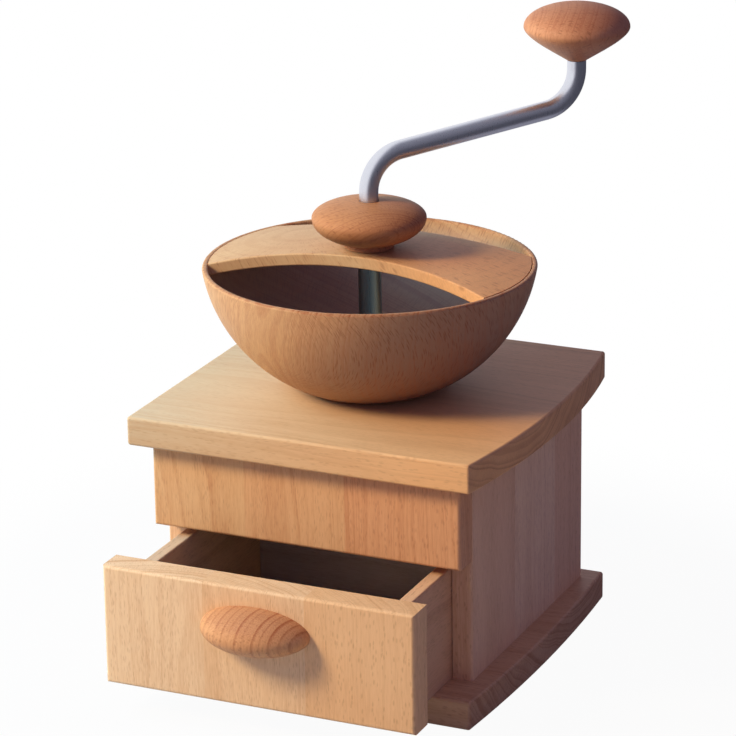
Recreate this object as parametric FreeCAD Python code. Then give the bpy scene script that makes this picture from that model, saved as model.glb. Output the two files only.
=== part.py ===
import FreeCAD, Part
import math
import os

V = FreeCAD.Vector

# A hand grain mill of beech, in millimetres: +Z up, +Y to the back, +X to the right.
# The origin is the centre of the base plate's underside, on the axis of the drive shaft.
# The drawer stands pulled part of the way out, and the crank points to the back right.

# Base plate and top plate: boards whose right edge bows outwards
plate_width = 190.0
plate_depth = 190.0
plate_thick = 15.5
base_bow = 4.0
top_bow = 9.0
plate_round = 1.5

# Case: two sides, a back and a front board between the plates
case_width = 172.0
case_depth = 170.0
case_height = 112.0
side_thick = 11.0
back_thick = 12.0
front_thick = 15.5
front_height = 46.0
front_round = 1.8
side_round = 1.5

# Drawer
drawer_open = 58.0
drawer_length = 134.5
drawer_front_thick = 15.5
drawer_front_round = 1.8
drawer_wall = 7.5
drawer_wall_round = 1.0
drawer_side_drop = 4.0
drawer_back_drop = 4.5
drawer_floor_thick = 4.0
drawer_floor_lift = 3.0
drawer_groove = 3.0
drawer_lift = 0.6
drawer_headroom = 1.0
drawer_side_room = 0.5
pull_half_width = 29.6
pull_half_height = 12.0
pull_reach = 21.0
pull_height = 43.0

# Rails that keep the open drawer level, and blocks in the upper corners of the case
rail_width = 8.5
rail_height = 10.0
rail_room = 0.7
block_size = 18.0

# Hopper bowl
bowl_radius = 87.0
bowl_height = 66.0
bowl_foot_radius = 33.0
bowl_belly_radius = 72.4
bowl_belly_height = 29.8
bowl_belly_wall = 5.5
bowl_rim_wall = 3.0
bowl_rim_round = 1.2
bowl_floor = 8.5
throat_radius = 18.0

# Bridge: a domed board let into the mouth of the bowl
bridge_rise = 9.0
bridge_thick = 6.5
bridge_front = 18.0
bridge_front_radius = 210.0
bridge_back = 42.0
bridge_round = 0.8

# Bush in the bridge
bush_radius = 9.0
bush_flange_radius = 11.0
bush_flange_thick = 1.5
bush_tail = 0.5
bush_recess = 0.4

# Keyed thrust washer on the bush
washer_radius = 10.0
washer_thick = 1.5

# Fineness knob and the threaded insert pressed into it
knob_radius = 29.8
knob_middle = 12.9
knob_crown = 9.4
knob_belly = 14.1
knob_foot_radius = 13.0
knob_top_radius = 7.5
knob_web = 4.5
knob_rod_room = 0.3
insert_radius = 8.5
insert_flange_radius = 10.5
insert_flange_thick = 1.5
insert_length = 15.2

# Drive shaft
shaft_radius = 6.0
shaft_head = 18.4
shaft_tail = 5.4
key_width = 3.0
key_depth = 1.2
key_length = 22.0

# Crank: one bent rod with a turned-down end at each side
rod_radius = 5.0
stub_radius = 4.0
stub_length = 14.0
crank_heading = 50.0
crank_slope = 6.6
crank_arm = 122.6
crank_bend = 20.5
crank_lift = 29.4
crank_upright = 22.9
spindle_radius = 3.0
spindle_length = 19.4
clip_radius = 4.0
clip_thick = 0.8
clip_groove = 0.5
clip_inset = 1.2

# Crank handle: a turned mushroom that spins on the spindle
handle_radius = 27.9
handle_crown = 12.1
handle_drop = 17.7
handle_shoulder_radius = 21.2
handle_shoulder_drop = 7.6
handle_neck_radius = 5.4
handle_neck_slope = 30.0
handle_bush_radius = 4.2
handle_room = 0.3
handle_bore_room = 2.0

# Millstones and their dressing
upper_stone_radius = 39.0
upper_stone_thick = 16.5
lower_stone_radius = 38.0
lower_stone_thick = 14.0
stone_gap = 1.0
eye_radius = 27.0
eye_depth = 5.0
mouth_radius = 23.0
mouth_depth = 2.5
furrow_count = 12
furrow_width = 6.0
furrow_depth = 2.2
furrow_end_depth = 0.4
furrow_offset = 9.0
furrow_start = 15.0

# Stone holder under the top plate
holder_radius = 56.0
holder_thick = 3.0
holder_wall = 3.5
holder_skirt = 14.0

# Stone carrier on the shaft, its dogs, cross pin, washer and nut
carrier_radius = 32.0
carrier_thick = 3.5
hub_radius = 10.0
hub_height = 13.0
collar_radius = 12.0
collar_height = 4.0
dog_count = 3
dog_circle = 22.0
dog_radius = 3.0
dog_height = 3.0
pin_radius = 2.0
pin_height = 8.0
tail_washer_radius = 12.0
tail_washer_thick = 1.5
nut_across_flats = 19.0
nut_height = 5.0

# Throat bearing: a ring with arms that centre the shaft in the feed hole
bearing_wall = 2.0
bearing_height = 12.0
bearing_hub_radius = 9.0
bearing_hub_drop = 1.0
bearing_arm_width = 3.0
bearing_arm_height = 6.0
bearing_arms = 3

# Wood screws and dowels
screw_radius = 2.0
screw_head_radius = 3.8
screw_head_height = 2.4
screw_point = 3.0
screw_sink = 0.4
base_screw_length = 38.0
base_screw_inset = 30.0
top_screw_length = 28.0
bowl_screw_length = 21.0
bowl_screw_circle = 26.0
bowl_screw_count = 3
holder_screw_length = 14.0
holder_screw_circle = 48.0
holder_screw_count = 3
pull_screw_length = 24.0
dowel_radius = 3.0
dowel_length = 22.0
dowel_inset = 11.0
dowel_side_depth = 7.0
back_dowel_inset = 20.0
drawer_dowel_radius = 2.5
drawer_dowel_inset = 18.0

# Clearances
run_gap = 0.05
seat_gap = 0.02
face_gap = 0.1
dog_gap = 0.1
stone_seat = 0.2
over = 1.0

# Levels and faces that follow from the sizes
half_width = case_width / 2
half_depth = case_depth / 2
inner_half = half_width - side_thick
front_face = -half_depth
front_back = front_face + front_thick
back_inner = half_depth - back_thick
floor_z = plate_thick
ceiling_z = floor_z + case_height
deck_z = ceiling_z + plate_thick
front_low = ceiling_z - front_height

drawer_low = floor_z + drawer_lift
drawer_high = front_low - drawer_headroom
drawer_half = inner_half - drawer_side_room
drawer_face = front_face - drawer_open
drawer_inner = drawer_face + drawer_front_thick
drawer_rear = drawer_inner + drawer_length
drawer_side_top = drawer_high - drawer_side_drop
drawer_floor_low = drawer_low + drawer_floor_lift
drawer_floor_top = drawer_floor_low + drawer_floor_thick
rail_low = drawer_side_top + rail_room

rim_z = deck_z + bowl_height
bowl_mouth_radius = bowl_radius - bowl_rim_wall
bridge_top = rim_z + bridge_rise
bush_seat = bridge_top - bush_recess
washer_low = bush_seat + bush_flange_thick + face_gap
insert_low = washer_low + washer_thick + face_gap
insert_top = insert_low + insert_length
knob_equator = insert_low + knob_middle
shaft_top = bush_seat + shaft_head

stone_top = ceiling_z - holder_thick
stone_low = stone_top - upper_stone_thick
runner_top = stone_low - stone_gap
runner_low = runner_top - lower_stone_thick
carrier_low = runner_low - carrier_thick
collar_low = carrier_low - collar_height
nut_top = collar_low - tail_washer_thick
shaft_low = nut_top - shaft_tail
bearing_low = deck_z - bearing_height
bearing_radius = throat_radius + bearing_wall

crank_low = shaft_top + crank_lift
crank_run = crank_arm * math.cos(math.radians(crank_slope))
crank_high = crank_low + crank_arm * math.sin(math.radians(crank_slope))
handle_x = crank_run * math.cos(math.radians(crank_heading))
handle_y = crank_run * math.sin(math.radians(crank_heading))
rod_end = crank_high + crank_upright
handle_low = rod_end + handle_room
handle_equator = handle_low + handle_drop
spindle_top = rod_end + spindle_length
clip_low = spindle_top - clip_inset - clip_thick


# Basic solids

def box(x0, x1, y0, y1, z0, z1):
    return Part.makeBox(x1 - x0, y1 - y0, z1 - z0, V(x0, y0, z0))


def rod(radius, low, high, x=0.0, y=0.0):
    return Part.makeCylinder(radius, high - low, V(x, y, low))


def tube(outer, inner, low, high, x=0.0, y=0.0):
    return rod(outer, low, high, x, y).cut(rod(inner, low - over, high + over, x, y))


def line(a, b):
    return Part.LineSegment(a, b).toShape()


def arc(a, middle, b):
    return Part.Arc(a, middle, b).toShape()


def round_corner(a, centre, b):
    """The arc from a to b about the centre, on the side away from it."""
    bisector = (a - centre) + (b - centre)
    bisector.normalize()
    return arc(a, centre + bisector * (a - centre).Length, b)


def outline(points):
    return [line(points[i], points[(i + 1) % len(points)]) for i in range(len(points))]


def turned(edges, x=0.0, y=0.0):
    """The solid that the closed edges in the XZ plane sweep about the upright axis at x, y."""
    solid = Part.Face(Part.Wire(edges)).revolve(V(0, 0, 0), V(0, 0, 1), 360)
    solid.translate(V(x, y, 0))
    return solid


def prism(points, low, high):
    """An upright prism on the corner points, given as x, y pairs."""
    ground = [V(x, y, low) for x, y in points]
    return Part.Face(Part.Wire(outline(ground))).extrude(V(0, 0, high - low))


def edges_in(shape, axis, level):
    """The edges that lie in the plane where the axis has the level."""
    found = []
    for edge in shape.Edges:
        low = getattr(edge.BoundBox, axis + "Min")
        high = getattr(edge.BoundBox, axis + "Max")
        if abs(low - level) < seat_gap and abs(high - level) < seat_gap:
            found.append(edge)
    return found


def around(count, radius, first_angle=0.0):
    """Points evenly round the main axis, as x, y pairs."""
    angles = [math.radians(first_angle + 360.0 * i / count) for i in range(count)]
    return [(radius * math.cos(a), radius * math.sin(a)) for a in angles]


def oval(equator, radius, height, end_radius):
    """A quarter oval in the XZ plane from its equator to where it is end_radius from the axis."""
    sweep = math.acos(end_radius / radius)
    start = V(radius, 0, equator)
    middle = V(radius * math.cos(sweep / 2), 0, equator + height * math.sin(sweep / 2))
    end = V(end_radius, 0, equator + height * math.sin(sweep))
    curve = Part.BSplineCurve()
    upright = V(0, 0, math.copysign(1, height))
    leaving = V(-radius * math.sin(sweep), 0, height * math.cos(sweep))
    curve.interpolate(Points=[start, middle, end], InitialTangent=upright, FinalTangent=leaving)
    return curve.toShape()


# Fasteners

def screw_body(length, gap):
    """A countersunk screw pointing up from z = 0, larger all round by the gap."""
    tip = length + gap
    points = [
        V(0, 0, 0),
        V(screw_head_radius + gap, 0, 0),
        V(screw_radius + gap, 0, screw_head_height + gap),
        V(screw_radius + gap, 0, tip - screw_point),
        V(0, 0, tip),
    ]
    return turned(outline(points))


def screw_hole(length):
    """The hole for a screw, with the recess that its head is sunk in."""
    mouth = rod(screw_head_radius + seat_gap, -screw_sink - over, 0)
    return screw_body(length, seat_gap).fuse(mouth)


def upright_screws(places, low, length):
    return [screw_body(length, 0).translated(V(x, y, low + screw_sink)) for x, y in places]


def upright_holes(places, low, length):
    hole = screw_hole(length)
    return [hole.translated(V(x, y, low + screw_sink)) for x, y in places]


def dowels(starts, direction, radius, length, gap=0.0):
    """Round pegs from each start along the direction, longer and thicker by the gap."""
    shift = direction * gap
    return [Part.makeCylinder(radius + gap, length + 2 * gap, s - shift, direction) for s in starts]


def base_screw_places():
    x = half_width - side_thick / 2
    y = half_depth - base_screw_inset
    return [(-x, -y), (x, -y), (-x, y), (x, y)]


def block_places():
    x = inner_half - block_size / 2
    front = front_back + block_size / 2
    back = back_inner - block_size / 2
    return [(-x, front), (x, front), (-x, back), (x, back)]


def bowl_screw_places():
    return around(bowl_screw_count, bowl_screw_circle, 30)


def holder_screw_places():
    return around(holder_screw_count, holder_screw_circle, 30)


def front_dowel_starts():
    x = half_width - side_thick / 2
    y = front_back - dowel_length / 2
    return [V(sx * x, y, z) for sx in (-1, 1) for z in (front_low + dowel_inset, ceiling_z - dowel_inset)]


def back_dowel_starts(side):
    x = side * (inner_half + dowel_side_depth)
    y = half_depth - back_thick / 2
    return [V(x, y, z) for z in (floor_z + back_dowel_inset, ceiling_z - back_dowel_inset)]


def drawer_dowel_starts(side):
    x = side * (drawer_half - drawer_wall / 2)
    y = drawer_inner - dowel_length / 2
    return [V(x, y, z) for z in (drawer_low + drawer_dowel_inset, drawer_high - drawer_dowel_inset)]


def back_dowels(gap=0.0):
    pegs = []
    for side in (-1, 1):
        pegs += dowels(back_dowel_starts(side), V(-side, 0, 0), dowel_radius, dowel_length, gap)
    return pegs


def front_dowels(gap=0.0):
    return dowels(front_dowel_starts(), V(0, 1, 0), dowel_radius, dowel_length, gap)


def drawer_dowels(gap=0.0):
    starts = drawer_dowel_starts(-1) + drawer_dowel_starts(1)
    return dowels(starts, V(0, 1, 0), drawer_dowel_radius, dowel_length, gap)


# Plates

def plate(bow, low):
    """A board whose right edge is an arc that stands out by the bow at its middle."""
    x = plate_width / 2
    y = plate_depth / 2
    edges = [
        line(V(-x, -y, low), V(x, -y, low)),
        arc(V(x, -y, low), V(x + bow, 0, low), V(x, y, low)),
        line(V(x, y, low), V(-x, y, low)),
        line(V(-x, y, low), V(-x, -y, low)),
    ]
    board = Part.Face(Part.Wire(edges)).extrude(V(0, 0, plate_thick))
    return board.makeFillet(plate_round, board.Edges)


def base_plate():
    return plate(base_bow, 0).cut(upright_holes(base_screw_places(), 0, base_screw_length))


def top_plate():
    """It has the feed hole, widened from above for the throat bearing."""
    throat = rod(throat_radius, ceiling_z - over, deck_z + over)
    seat = rod(bearing_radius + seat_gap, bearing_low, deck_z + over)
    holes = upright_holes(block_places(), ceiling_z - block_size, top_screw_length)
    holes += upright_holes(bowl_screw_places(), ceiling_z, bowl_screw_length)
    holes += upright_holes(holder_screw_places(), stone_top, holder_screw_length)
    return plate(top_bow, ceiling_z).cut([throat, seat] + holes)


# Case

def side_panel(side):
    x0, x1 = sorted((side * inner_half, side * half_width))
    board = box(x0, x1, front_back, half_depth, floor_z, ceiling_z)
    outer = [e for e in edges_in(board, "X", side * half_width) if e.BoundBox.ZLength > case_height / 2]
    board = board.makeFillet(side_round, outer)
    holes = upright_holes(base_screw_places(), 0, base_screw_length)
    return board.cut(holes + front_dowels(seat_gap) + back_dowels(seat_gap))


def back_panel():
    board = box(-inner_half, inner_half, back_inner, half_depth, floor_z, ceiling_z)
    return board.cut(back_dowels(seat_gap))


def front_board():
    board = box(-half_width, half_width, front_face, front_back, front_low, ceiling_z)
    board = board.makeFillet(front_round, edges_in(board, "Y", front_face))
    return board.cut(front_dowels(seat_gap))


def drawer_rail(side):
    """It lies along the side panel, just above the drawer's side."""
    x0, x1 = sorted((side * (inner_half - rail_width), side * inner_half))
    return box(x0, x1, front_back, back_inner, rail_low, rail_low + rail_height)


def corner_block(x, y):
    half = block_size / 2
    block = box(x - half, x + half, y - half, y + half, ceiling_z - block_size, ceiling_z)
    return block.cut(upright_holes([(x, y)], ceiling_z - block_size, top_screw_length))


# Hopper

def bowl_inner_arc(gap):
    """The bowl's inner wall, from the lip down to the feed hole, closer in by the gap."""
    lip = V(bowl_mouth_radius - gap, 0, rim_z - bowl_rim_round)
    belly = V(bowl_belly_radius - bowl_belly_wall - gap, 0, deck_z + bowl_belly_height)
    throat = V(throat_radius - gap, 0, deck_z + bowl_floor)
    return arc(lip, belly, throat)


def hopper_bowl():
    """A turned bowl with a rounded lip, open at the bottom."""
    foot_in = V(throat_radius, 0, deck_z)
    foot_out = V(bowl_foot_radius, 0, deck_z)
    belly = V(bowl_belly_radius, 0, deck_z + bowl_belly_height)
    rim_out = V(bowl_radius, 0, rim_z - bowl_rim_round)
    lip_out = V(bowl_radius - bowl_rim_round, 0, rim_z)
    lip_in = V(bowl_mouth_radius + bowl_rim_round, 0, rim_z)
    rim_in = V(bowl_mouth_radius, 0, rim_z - bowl_rim_round)
    throat_top = V(throat_radius, 0, deck_z + bowl_floor)
    edges = [
        line(foot_in, foot_out),
        arc(foot_out, belly, rim_out),
        round_corner(rim_out, V(lip_out.x, 0, rim_out.z), lip_out),
        line(lip_out, lip_in),
        round_corner(lip_in, V(lip_in.x, 0, rim_in.z), rim_in),
        bowl_inner_arc(0),
        line(throat_top, foot_in),
    ]
    return turned(edges).cut(upright_holes(bowl_screw_places(), ceiling_z, bowl_screw_length))


def bowl_space(gap):
    """The space inside the bowl and above its mouth, smaller by the gap."""
    radius = bowl_mouth_radius - gap
    top = bridge_top + over
    edges = [
        line(V(0, 0, top), V(radius, 0, top)),
        line(V(radius, 0, top), V(radius, 0, rim_z - bowl_rim_round)),
        bowl_inner_arc(gap),
        line(V(throat_radius - gap, 0, deck_z + bowl_floor), V(0, 0, deck_z + bowl_floor)),
        line(V(0, 0, deck_z + bowl_floor), V(0, 0, top)),
    ]
    return turned(edges)


def dome():
    """A shallow dome as thick as the bridge, which meets the rim's level at the bowl's mouth."""
    sphere_radius = (bowl_mouth_radius ** 2 + bridge_rise ** 2) / (2 * bridge_rise)

    def on_top(r):
        return V(r, 0, bridge_top - sphere_radius + math.sqrt(sphere_radius ** 2 - r ** 2))

    down = V(0, 0, -bridge_thick)
    reach = bowl_radius
    edges = [
        arc(on_top(0), on_top(reach / 2), on_top(reach)),
        line(on_top(reach), on_top(reach) + down),
        arc(on_top(reach) + down, on_top(reach / 2) + down, on_top(0) + down),
        line(on_top(0) + down, on_top(0)),
    ]
    return turned(edges)


def bridge_plan():
    """The bridge seen from above: a hollowed front edge and a straight back edge."""
    reach = bowl_radius
    hollow = bridge_front_radius - math.sqrt(bridge_front_radius ** 2 - reach ** 2)
    corner = -bridge_front - hollow
    edges = [
        arc(V(-reach, corner, 0), V(0, -bridge_front, 0), V(reach, corner, 0)),
        line(V(reach, corner, 0), V(reach, bridge_back, 0)),
        line(V(reach, bridge_back, 0), V(-reach, bridge_back, 0)),
        line(V(-reach, bridge_back, 0), V(-reach, corner, 0)),
    ]
    return Part.Face(Part.Wire(edges)).extrude(V(0, 0, bridge_top + over))


def bowl_bridge():
    board = dome().common(bowl_space(run_gap)).common(bridge_plan())
    board = board.makeFillet(bridge_round, [e for e in board.Edges if e.Length > bowl_radius])
    bore = rod(bush_radius + seat_gap, rim_z - bridge_thick, bridge_top + over)
    recess = rod(bush_flange_radius + face_gap, bush_seat, bridge_top + over)
    return board.cut([bore, recess])


def bridge_bush():
    """A flanged sleeve in the bridge, in which the shaft turns."""
    bush = rod(bush_radius, bridge_top - bridge_thick - bush_tail, bush_seat)
    bush = bush.fuse(rod(bush_flange_radius, bush_seat, bush_seat + bush_flange_thick))
    return bush.cut(rod(shaft_radius + run_gap, rim_z - bridge_thick, insert_low)).removeSplitter()


def throat_bearing():
    """A ring let into the top plate, whose arms hold a hub round the shaft."""
    bearing = tube(bearing_radius, throat_radius, bearing_low, deck_z)
    hub = rod(bearing_hub_radius, bearing_low - bearing_hub_drop, deck_z - bearing_hub_drop)
    arm_low = (bearing_low + deck_z - bearing_arm_height) / 2
    reach = throat_radius + bearing_wall / 2
    half = bearing_arm_width / 2
    arm = box(0, reach, -half, half, arm_low, arm_low + bearing_arm_height)
    arms = [arm.rotated(V(0, 0, 0), V(0, 0, 1), 90 + 360.0 * i / bearing_arms) for i in range(bearing_arms)]
    bearing = bearing.fuse([hub] + arms)
    bore = rod(shaft_radius + run_gap, bearing_low - bearing_hub_drop - over, deck_z)
    return bearing.cut(bore).removeSplitter()


# Grinding works

def furrows(inner):
    """Tangential furrows in a face that looks up at z = 0, with one steep wall and one slope.

    Each runs from the inner distance past the rim and is shallower at its outer end.
    """
    outer = upper_stone_radius + over

    def section(x, depth):
        y0 = furrow_offset
        y1 = furrow_offset + furrow_width
        corners = [V(x, y0, over), V(x, y0, -depth), V(x, y1, 0), V(x, y1, over)]
        return Part.Wire(outline(corners))

    furrow = Part.makeLoft([section(inner, furrow_depth), section(outer, furrow_end_depth)], True, True)
    return [furrow.rotated(V(0, 0, 0), V(0, 0, 1), 360.0 * i / furrow_count) for i in range(furrow_count)]


def upper_millstone():
    """The fixed stone: its dressed face looks down and its bore widens to a mouth."""
    points = [
        V(throat_radius, 0, stone_top),
        V(upper_stone_radius, 0, stone_top),
        V(upper_stone_radius, 0, stone_low),
        V(mouth_radius, 0, stone_low),
        V(throat_radius, 0, stone_low + mouth_depth),
    ]
    overturned = [f.rotated(V(0, 0, 0), V(1, 0, 0), 180) for f in furrows(furrow_start)]
    cutters = [f.translated(V(0, 0, stone_low)) for f in overturned]
    return turned(outline(points)).cut(cutters)


def lower_millstone():
    """The turning stone: its dressed face looks up, with a conical eye that feeds it."""
    bore = hub_radius + run_gap
    points = [
        V(bore, 0, runner_low),
        V(lower_stone_radius, 0, runner_low),
        V(lower_stone_radius, 0, runner_top),
        V(eye_radius, 0, runner_top),
        V(bore, 0, runner_top - eye_depth),
    ]
    cutters = [f.translated(V(0, 0, runner_top)) for f in furrows(furrow_start)]
    pockets = [rod(dog_radius + dog_gap, runner_low - over, runner_low + dog_height + dog_gap, x, y)
               for x, y in around(dog_count, dog_circle)]
    return turned(outline(points)).cut(cutters + pockets)


def stone_holder():
    """A flange screwed under the top plate, with a skirt round the fixed stone."""
    inner = upper_stone_radius + stone_seat
    flange = tube(holder_radius, throat_radius, stone_top, ceiling_z)
    skirt = tube(inner + holder_wall, inner, stone_top - holder_skirt, stone_top)
    holes = upright_holes(holder_screw_places(), stone_top, holder_screw_length)
    return flange.fuse(skirt).cut(holes).removeSplitter()


def stone_carrier():
    """A disc on the shaft with a hub through the turning stone and dogs that drive it."""
    carrier = rod(carrier_radius, carrier_low, runner_low)
    hub = rod(hub_radius, runner_low, runner_low + hub_height)
    collar = rod(collar_radius, collar_low, carrier_low)
    dogs = [rod(dog_radius, carrier_low, runner_low + dog_height, x, y)
            for x, y in around(dog_count, dog_circle)]
    carrier = carrier.fuse([hub, collar] + dogs)
    bore = rod(shaft_radius + seat_gap, collar_low - over, runner_top + over)
    return carrier.cut([bore, cross_pin(seat_gap)]).removeSplitter()


def cross_pin(gap):
    """The pin through hub and shaft, with its ends inside the hub, thicker and longer by the gap."""
    reach = math.sqrt(hub_radius ** 2 - pin_radius ** 2) - face_gap + gap
    start = V(-reach, 0, runner_low + pin_height)
    return Part.makeCylinder(pin_radius + gap, 2 * reach, start, V(1, 0, 0))


def shaft_washer():
    return tube(tail_washer_radius, shaft_radius + seat_gap, nut_top, collar_low)


def shaft_nut():
    corner = nut_across_flats / math.sqrt(3)
    nut = prism(around(6, corner), nut_top - nut_height, nut_top)
    return nut.cut(rod(shaft_radius + seat_gap, shaft_low - over, nut_top + over))


# Shaft, crank and handle

def key_bar(gap, low, high):
    """A bar on the back of the shaft's axis, as deep as the key groove and wider by the gap."""
    half = key_width / 2 + gap
    return box(-half, half, shaft_radius - key_depth - gap, shaft_radius + over, low, high)


def drive_shaft():
    """A round bar with a key groove, bored at the top for the crank and across for the pin."""
    shaft = rod(shaft_radius, shaft_low, shaft_top)
    groove = key_bar(0, shaft_top - key_length, shaft_top + over)
    socket = rod(stub_radius + seat_gap, shaft_top - stub_length - seat_gap, shaft_top + over)
    return shaft.cut([groove, socket, cross_pin(seat_gap)])


def crank_rod():
    """A bar bent up, out and up again, with a stub in the shaft and a spindle for the handle."""
    along = V(handle_x, handle_y, crank_high - crank_low)
    along.normalize()
    up = V(0, 0, 1)
    first = V(0, 0, crank_low)
    second = V(handle_x, handle_y, crank_high)
    turn = math.radians(90 - crank_slope)
    reach = crank_bend * math.tan(turn / 2)
    sag = crank_bend / math.cos(turn / 2) - crank_bend
    inward = along - up
    inward.normalize()
    end = V(handle_x, handle_y, rod_end)
    path = [
        line(V(0, 0, shaft_top), first - up * reach),
        arc(first - up * reach, first + inward * sag, first + along * reach),
        line(first + along * reach, second - along * reach),
        arc(second - along * reach, second - inward * sag, second + up * reach),
        line(second + up * reach, end),
    ]
    section = Part.Wire(Part.makeCircle(rod_radius, V(0, 0, shaft_top)))
    bar = Part.Wire(path).makePipeShell([section], True, False)
    stub = rod(stub_radius, shaft_top - stub_length, shaft_top)
    spindle = rod(spindle_radius, rod_end, spindle_top, handle_x, handle_y)
    bar = bar.fuse([stub, spindle])
    groove = tube(spindle_radius + over, spindle_radius - clip_groove, clip_low, clip_low + clip_thick,
                  handle_x, handle_y)
    return bar.cut(groove)


def handle_circlip():
    """A spring ring with a gap, in the groove near the spindle's end."""
    low = clip_low + seat_gap
    high = clip_low + clip_thick - seat_gap
    clip = tube(clip_radius, spindle_radius - clip_groove + seat_gap, low, high, handle_x, handle_y)
    reach = clip_radius + over
    mouth = box(handle_x, handle_x + reach, handle_y - over, handle_y + over, low - over, high + over)
    return clip.cut(mouth)


def handle_bush():
    bush_top = clip_low - face_gap
    return tube(handle_bush_radius, spindle_radius + run_gap, handle_low, bush_top, handle_x, handle_y)


def crank_handle():
    """A domed head whose underside narrows to a neck, with a blind bore from below."""
    shoulder = V(handle_shoulder_radius, 0, handle_equator - handle_shoulder_drop)
    equator = V(handle_radius, 0, handle_equator)
    neck = V(handle_neck_radius, 0, handle_low)
    bore = handle_bush_radius + seat_gap
    slope = math.radians(handle_neck_slope)
    leaving = V(math.cos(slope), 0, math.sin(slope))
    underside = Part.BSplineCurve()
    underside.interpolate(Points=[neck, shoulder, equator], InitialTangent=leaving, FinalTangent=V(0, 0, 1))
    crown = oval(handle_equator, handle_radius, handle_crown, 0)
    top = V(0, 0, handle_equator + handle_crown)
    bore_top = V(0, 0, spindle_top + handle_bore_room)
    edges = [
        crown,
        line(top, bore_top),
        line(bore_top, V(bore, 0, bore_top.z)),
        line(V(bore, 0, bore_top.z), V(bore, 0, handle_low)),
        line(V(bore, 0, handle_low), neck),
        underside.toShape(),
    ]
    return turned(edges, handle_x, handle_y)


# Fineness setting

def thrust_washer():
    """A washer whose key slides in the shaft's groove."""
    washer = tube(washer_radius, shaft_radius + run_gap, washer_low, washer_low + washer_thick)
    return washer.fuse(key_bar(-run_gap, washer_low, washer_low + washer_thick)).removeSplitter()


def knob_insert():
    """A flanged sleeve with the thread that lifts the shaft."""
    sleeve = rod(insert_radius, insert_low, insert_top)
    flange = rod(insert_flange_radius, insert_low, insert_low + insert_flange_thick)
    bore = rod(shaft_radius + run_gap, insert_low - over, insert_top + over)
    return sleeve.fuse(flange).cut(bore).removeSplitter()


def fineness_knob():
    """A flattened ball, bored for the insert, the shaft's end and the rod."""
    crown = oval(knob_equator, knob_radius, knob_crown, knob_top_radius)
    belly = oval(knob_equator, knob_radius, -knob_belly, knob_foot_radius)
    top = crown.BoundBox.ZMax
    foot = belly.BoundBox.ZMin
    crown_end = crown.Vertexes[-1].Point
    belly_end = belly.Vertexes[-1].Point
    edges = [
        belly,
        crown,
        line(crown_end, V(0, 0, crown_end.z)),
        line(V(0, 0, crown_end.z), V(0, 0, belly_end.z)),
        line(V(0, 0, belly_end.z), belly_end),
    ]
    knob = turned(edges)
    cuts = [
        rod(insert_flange_radius + seat_gap, foot - over, insert_low + insert_flange_thick + seat_gap),
        rod(insert_radius + seat_gap, foot - over, insert_top + seat_gap),
        rod(shaft_radius + 2 * face_gap, insert_low, top - knob_web),
        rod(rod_radius + knob_rod_room, insert_low, top + over),
    ]
    return knob.cut(cuts)


# Drawer

def drawer_front():
    board = box(-half_width, half_width, drawer_face, drawer_inner, drawer_low, drawer_high)
    board = board.makeFillet(drawer_front_round, edges_in(board, "Y", drawer_face))
    return board.cut(drawer_dowels(seat_gap) + [drawer_floor_slot(), pull_hole()])


def drawer_floor_slot():
    """The groove in the front and the sides that takes the drawer's floor."""
    reach = drawer_half - drawer_wall + drawer_groove
    front = drawer_inner - drawer_groove
    return box(-reach, reach, front, drawer_rear + over, drawer_floor_low, drawer_floor_top)


def drawer_side(side):
    x0, x1 = sorted((side * (drawer_half - drawer_wall), side * drawer_half))
    board = box(x0, x1, drawer_inner, drawer_rear, drawer_low - drawer_lift + face_gap, drawer_side_top)
    upper = [e for e in edges_in(board, "Z", drawer_side_top) if e.Length > drawer_length / 2]
    board = board.makeFillet(drawer_wall_round, upper)
    return board.cut(drawer_dowels(seat_gap) + [drawer_floor_slot()])


def drawer_back():
    reach = drawer_half - drawer_wall
    top = drawer_side_top - drawer_back_drop
    return box(-reach, reach, drawer_rear - drawer_wall, drawer_rear, drawer_floor_top, top)


def drawer_bottom():
    reach = drawer_half - drawer_wall + drawer_groove - face_gap
    low = drawer_floor_low + seat_gap
    high = drawer_floor_top - seat_gap
    return box(-reach, reach, drawer_inner - drawer_groove + face_gap, drawer_rear, low, high)


def pull_screw(gap=0.0):
    """The screw from inside the drawer through its front into the pull."""
    screw = screw_body(pull_screw_length, gap).rotated(V(0, 0, 0), V(1, 0, 0), 90)
    return screw.translated(V(0, drawer_inner - screw_sink, drawer_low + pull_height))


def pull_hole():
    hole = screw_hole(pull_screw_length).rotated(V(0, 0, 0), V(1, 0, 0), 90)
    return hole.translated(V(0, drawer_inner - screw_sink, drawer_low + pull_height))


def drawer_pull():
    """Half of a flattened ball, seated on the drawer's front."""
    ball = Part.makeSphere(1)
    stretch = FreeCAD.Matrix()
    stretch.scale(pull_half_width, pull_reach, pull_half_height)
    ball = ball.transformGeometry(stretch)
    ball.translate(V(0, drawer_face, drawer_low + pull_height))
    behind = box(-case_width, case_width, drawer_face, drawer_face + case_depth, 0, case_height)
    return ball.cut([behind, pull_hole()])


def named_row(name, shapes):
    return {name + "_" + str(i + 1): shape for i, shape in enumerate(shapes)}


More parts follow.
